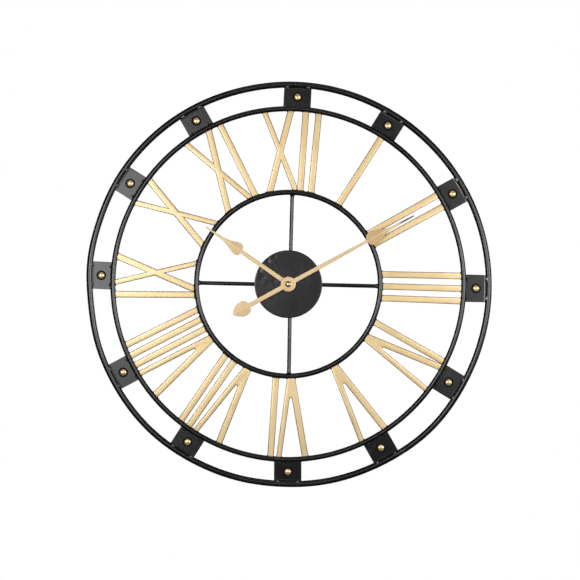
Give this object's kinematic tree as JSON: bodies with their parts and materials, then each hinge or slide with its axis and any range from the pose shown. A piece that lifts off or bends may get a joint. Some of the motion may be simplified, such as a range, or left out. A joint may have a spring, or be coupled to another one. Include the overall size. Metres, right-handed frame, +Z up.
{
  "type": "wall clock",
  "caption": "Round open-frame wall clock: black steel rings, flat gold Roman numerals welded between them, spade hands and a battery quartz movement behind a small disc.",
  "frame": {"origin": "on the wall plane, behind the axis of the hands, in the middle of the movement's back face", "axes": "+X to the right and +Z up as the clock hangs, the dial faces -Y and +Y points into the wall"},
  "size_m": [0.6, 0.0289, 0.6],
  "materials": {
    "black_coat": "satin black powder coat",
    "gold_paint": "pale champagne gold spray paint, satin",
    "gold_hand": "pale champagne gold spray paint on sheet, satin",
    "brass": "polished",
    "dark_metal": "dark bronze plating",
    "case_plastic": "fine moulded texture",
    "gear_nylon": "natural moulded nylon",
    "copper_wire": "enamelled winding wire",
    "battery_shell": "plain metallic sleeve"
  },
  "bodies": {
    "frame": {"outer_ring": "black_coat", "numeral_ring": "black_coat", "hub_ring": "black_coat", "spoke_top": "black_coat", "spoke_right": "black_coat", "spoke_bottom": "black_coat", "spoke_left": "black_coat", "centre_disc": "black_coat", "hanger_bracket": "black_coat", "marker_plate_01": "black_coat", "marker_plate_02": "black_coat", "marker_plate_03": "black_coat", "marker_plate_04": "black_coat", "marker_plate_05": "black_coat", "marker_plate_06": "black_coat", "marker_plate_07": "black_coat", "marker_plate_08": "black_coat", "marker_plate_09": "black_coat", "marker_plate_10": "black_coat", "marker_plate_11": "black_coat", "marker_plate_12": "black_coat", "stroke_xii_x": "gold_paint", "stroke_xii_i1": "gold_paint", "stroke_xii_i2": "gold_paint", "stroke_i_i": "gold_paint", "stroke_ii_i1": "gold_paint", "stroke_ii_i2": "gold_paint", "stroke_iii_i1": "gold_paint", "stroke_iii_i2": "gold_paint", "stroke_iii_i3": "gold_paint", "stroke_iv_iv": "gold_paint", "stroke_v_v": "gold_paint", "stroke_vi_v": "gold_paint", "stroke_vi_i": "gold_paint", "stroke_vii_v": "gold_paint", "stroke_vii_i1": "gold_paint", "stroke_vii_i2": "gold_paint", "stroke_viii_v": "gold_paint", "stroke_viii_i1": "gold_paint", "stroke_viii_i2": "gold_paint", "stroke_viii_i3": "gold_paint", "stroke_ix_i": "gold_paint", "stroke_ix_x": "gold_paint", "stroke_x_x": "gold_paint", "stroke_xi_x": "gold_paint", "stroke_xi_i": "gold_paint", "mounting_nut": "brass", "movement_front_case": "case_plastic", "movement_rear_case": "case_plastic", "motor_coil": "copper_wire"},
    "minute": {"minute_hand": "gold_hand", "hand_nut": "dark_metal", "minute_wheel": "gear_nylon"},
    "hour": {"hour_hand": "gold_hand", "hour_wheel": "gear_nylon"},
    "motion": {"motion_wheel": "gear_nylon"},
    "knob": {"setting_knob": "case_plastic"},
    "third": {"third_wheel": "gear_nylon"},
    "fourth": {"fourth_wheel": "gear_nylon"},
    "battery": {"battery": "battery_shell"}
  },
  "joints": [
    {"name": "minute_hand_turn", "type": "hinge", "parent": "frame", "child": "minute", "pos_m": [0, 0, 0], "axis": [0, 1, 0], "continuous": true},
    {"name": "hour_hand_turn", "type": "hinge", "parent": "frame", "child": "hour", "pos_m": [0, 0, 0], "axis": [0, 1, 0], "continuous": true},
    {"name": "motion_wheel_turn", "type": "hinge", "parent": "frame", "child": "motion", "pos_m": [0.011, 0, 0], "axis": [0, 1, 0], "continuous": true},
    {"name": "setting_knob_turn", "type": "hinge", "parent": "frame", "child": "knob", "pos_m": [0.0165, 0, 0.00953], "axis": [0, 1, 0], "continuous": true},
    {"name": "third_wheel_turn", "type": "hinge", "parent": "frame", "child": "third", "pos_m": [-0.00764, 0, 0.00764], "axis": [0, 1, 0], "continuous": true},
    {"name": "fourth_wheel_turn", "type": "hinge", "parent": "frame", "child": "fourth", "pos_m": [-0.00067, 0, 0.01251], "axis": [0, 1, 0], "continuous": true},
    {"name": "battery_slide", "type": "slide", "parent": "frame", "child": "battery", "axis": [0, 1, 0], "range_m": [0, 0.016]}
  ],
  "couplings": [
    {"joint": "hour_hand_turn", "follows": "minute_hand_turn", "ratio": 0.083333},
    {"joint": "motion_wheel_turn", "follows": "minute_hand_turn", "ratio": -0.33333},
    {"joint": "setting_knob_turn", "follows": "minute_hand_turn", "ratio": 1},
    {"joint": "third_wheel_turn", "follows": "minute_hand_turn", "ratio": -8},
    {"joint": "fourth_wheel_turn", "follows": "minute_hand_turn", "ratio": 60}
  ]
}
